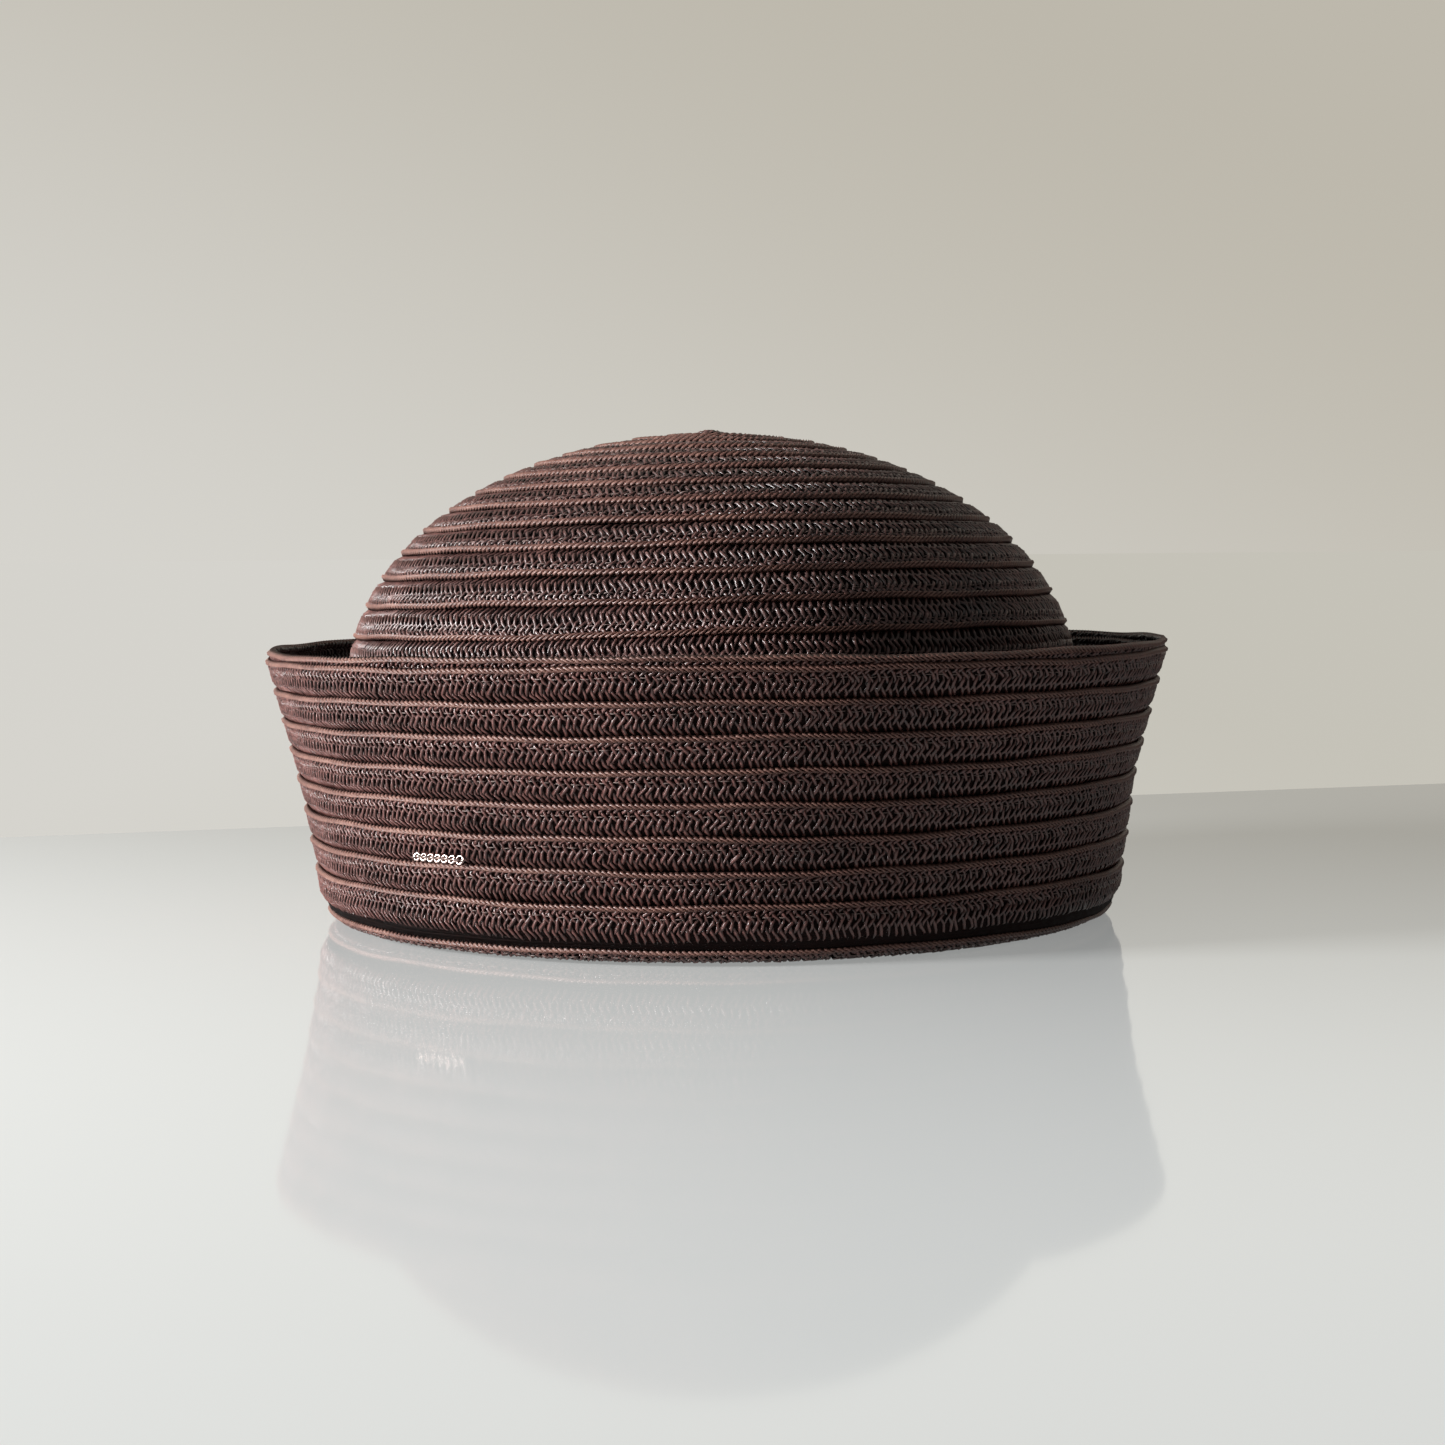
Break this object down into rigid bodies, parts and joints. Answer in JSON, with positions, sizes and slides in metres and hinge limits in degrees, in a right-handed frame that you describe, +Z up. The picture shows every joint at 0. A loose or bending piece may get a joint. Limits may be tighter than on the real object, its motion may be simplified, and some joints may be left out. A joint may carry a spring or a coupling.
{
  "type": "sailor hat",
  "caption": "Brown sailor hat of sewn braid with a rounded crown, a turned-up brim, a ribbon sweatband and a small chain trim.",
  "frame": {"origin": "centre of the hat's oval footprint, on the surface that the fold rests on", "axes": "+Z up through the crown, X along the oval's long axis, -Y to the front that carries the chain trim on its left"},
  "size_m": [0.2356, 0.2174, 0.1279],
  "materials": {
    "braid": "glossy dark brown plaited yarn",
    "ribbon": "dark brown ribbed ribbon",
    "thread": "brown sewing thread",
    "trim_metal": "pale rose plated metal"
  },
  "bodies": {
    "root": {"crown_braid": "braid", "crown_tip": "braid", "brim_braid": "braid", "fold_braid": "braid", "edge_braid": "braid", "sweatband": "ribbon", "sweatband_join": "ribbon", "sweatband_thread": "thread", "chain_link_01": "trim_metal", "chain_link_02": "trim_metal", "chain_link_03": "trim_metal", "chain_link_04": "trim_metal", "chain_link_05": "trim_metal", "chain_link_06": "trim_metal", "chain_link_07": "trim_metal", "chain_link_08": "trim_metal", "chain_link_09": "trim_metal", "chain_link_10": "trim_metal", "chain_link_11": "trim_metal", "chain_link_12": "trim_metal", "chain_end_ring": "trim_metal", "chain_tack_left": "thread", "chain_tack_right": "thread"}
  },
  "joints": []
}
